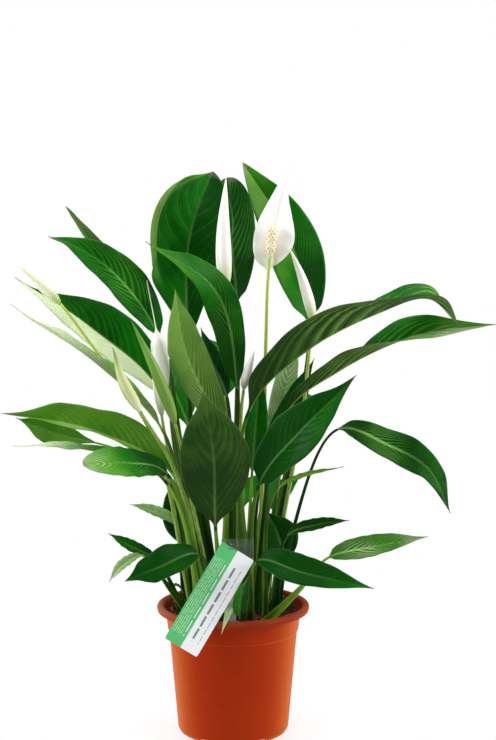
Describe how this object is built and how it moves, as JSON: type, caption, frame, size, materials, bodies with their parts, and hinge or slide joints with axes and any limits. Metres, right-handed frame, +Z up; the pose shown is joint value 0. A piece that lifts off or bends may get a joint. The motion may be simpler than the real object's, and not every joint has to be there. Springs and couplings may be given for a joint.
{
  "type": "potted peace lily",
  "caption": "Peace lily with glossy pointed leaves, white spathes on upright stems and a plant label, growing in a round tapered nursery pot with a rolled rim.",
  "frame": {"origin": "centre of the pot's foot, on the surface that it stands on", "axes": "+Z up along the pot's axis; -Y towards the side that the label hangs on; +X to the right seen from there"},
  "size_m": [0.4042, 0.3104, 0.4853],
  "materials": {
    "pot_plastic": "satin",
    "potting_soil": "matte",
    "leaf": "satin",
    "young_leaf": "satin",
    "flower_stem": "satin",
    "spathe": "matte",
    "spadix": "matte",
    "label_card": "satin",
    "clear_plastic": "gloss"
  },
  "bodies": {
    "root": {"pot": "pot_plastic", "leaf_rear_tall_left": "leaf", "leaf_rear_tall_middle": "leaf", "leaf_rear_tall_right": "leaf", "leaf_left_high_broad": "leaf", "leaf_left_high_narrow": "leaf", "leaf_left_mid_folded": "leaf", "leaf_left_mid_long": "leaf", "leaf_left_low_broad": "leaf", "leaf_left_low_edge": "leaf", "leaf_left_low_rear": "leaf", "leaf_left_low_forward": "leaf", "leaf_left_small_rear": "leaf", "leaf_left_small_outer": "leaf", "leaf_left_small_front": "leaf", "leaf_left_small_pale": "leaf", "leaf_left_rim_curl": "leaf", "leaf_middle_young": "young_leaf", "leaf_middle_arching": "leaf", "leaf_middle_narrow": "leaf", "leaf_front_upright": "leaf", "leaf_right_high_arching": "leaf", "leaf_right_high_long": "leaf", "leaf_right_mid_front": "leaf", "leaf_right_mid_drooping": "leaf", "leaf_right_young_thread": "young_leaf", "leaf_right_small_upper": "leaf", "leaf_right_small_outer": "leaf", "leaf_right_small_front": "leaf", "leaf_inner_left_low": "leaf", "leaf_inner_right_low": "leaf", "leaf_inner_pale": "leaf", "leaf_inner_dark": "leaf", "leaf_inner_bright": "leaf", "leaf_front_young_upright": "young_leaf", "leaf_front_over_rim": "leaf", "leaf_back_left_high": "leaf", "leaf_back_middle_high": "leaf", "leaf_back_right_high": "leaf", "leaf_back_middle_low": "leaf", "leaf_back_right_low": "leaf", "flower_open_stem": "flower_stem", "flower_open_spathe": "spathe", "flower_open_spadix": "spadix", "flower_tall_bud_stem": "flower_stem", "flower_tall_bud_spathe": "spathe", "flower_right_bud_stem": "flower_stem", "flower_right_bud_spathe": "spathe", "flower_middle_bud_stem": "flower_stem", "flower_middle_bud_spathe": "spathe", "flower_left_long_bud_stem": "flower_stem", "flower_left_long_bud_spathe": "spathe", "flower_left_green_bud_stem": "flower_stem", "flower_left_green_bud_spathe": "spathe", "flower_left_grey_bud_stem": "flower_stem", "flower_left_grey_bud_spathe": "spathe", "flower_left_rolled_bud": "flower_stem", "label": "label_card", "label_stake": "clear_plastic", "soil": "potting_soil"}
  },
  "joints": []
}
